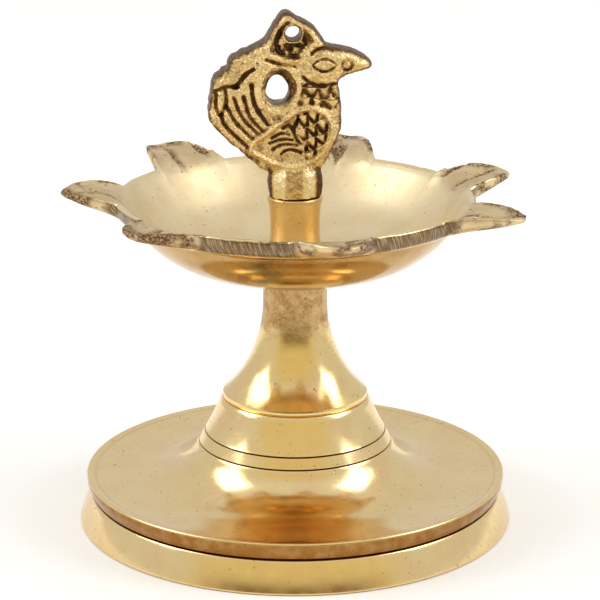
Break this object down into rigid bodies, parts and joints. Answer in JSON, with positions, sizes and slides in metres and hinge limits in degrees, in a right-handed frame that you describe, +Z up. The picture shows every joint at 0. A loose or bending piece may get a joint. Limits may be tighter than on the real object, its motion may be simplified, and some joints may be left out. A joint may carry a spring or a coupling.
{
  "type": "brass standing oil lamp",
  "caption": "Standing brass oil lamp: round stepped foot, flared neck, spouted oil dish, short central post and a flat cast peacock finial, all held by screws on one axis.",
  "frame": {"origin": "centre of the foot's resting plane, on the lamp's axis", "axes": "+Z up along the lamp's axis, +X towards the peacock's beak, -Y the side that the picture shows"},
  "size_m": [0.0872, 0.0863, 0.1006],
  "materials": {
    "base_brass": "lathe turned and polished, a few casting pits",
    "stem_brass": "lathe turned and polished, rougher under the dish",
    "dish_brass": "satin inside the bowl, pitted cast skin on the spouts, filed rim",
    "post_brass": "turned and polished, warm toned",
    "finial_brass": "as cast, dark in the recesses, rubbed bright on the edges",
    "screw_steel": "plain machined steel, lightly oiled",
    "leather": "thin oiled leather washer"
  },
  "bodies": {
    "stand": {"base": "base_brass", "stem": "stem_brass", "dish_gasket": "leather", "tie_rod": "screw_steel"},
    "dish": {"dish": "dish_brass"},
    "seal": {"post_seal": "leather"},
    "post": {"post": "post_brass"},
    "stud": {"finial_stud": "screw_steel"},
    "finial": {"peacock_finial": "finial_brass"},
    "washer": {"base_washer": "screw_steel"},
    "nut": {"base_nut": "screw_steel"}
  },
  "joints": [
    {"name": "dish_turn", "type": "hinge", "parent": "stand", "child": "dish", "pos_m": [0, 0, 0.0487], "axis": [0, 0, 1], "continuous": true},
    {"name": "post_lift", "type": "slide", "parent": "stand", "child": "seal", "axis": [0, 0, 1], "range_m": [0, 0.006]},
    {"name": "post_turn", "type": "hinge", "parent": "seal", "child": "post", "pos_m": [0, 0, 0.0516], "axis": [0, 0, 1], "range_deg": [0, 2160.1]},
    {"name": "finial_turn", "type": "hinge", "parent": "post", "child": "stud", "pos_m": [0, 0, 0.0648], "axis": [0, 0, 1], "range_deg": [0, 2160.1]},
    {"name": "finial_lift", "type": "slide", "parent": "stud", "child": "finial", "axis": [0, 0, 1], "range_m": [0, 0.0048]},
    {"name": "nut_drop", "type": "slide", "parent": "stand", "child": "washer", "axis": [0, 0, -1], "range_m": [0, 0.008]},
    {"name": "nut_turn", "type": "hinge", "parent": "washer", "child": "nut", "pos_m": [0, 0, 0.0192], "axis": [0, 0, -1], "range_deg": [0, 2880.1]}
  ],
  "couplings": [
    {"joint": "post_turn", "follows": "post_lift", "rad_per_m": 6283.2},
    {"joint": "finial_turn", "follows": "finial_lift", "rad_per_m": 7854},
    {"joint": "nut_turn", "follows": "nut_drop", "rad_per_m": 6283.2}
  ]
}
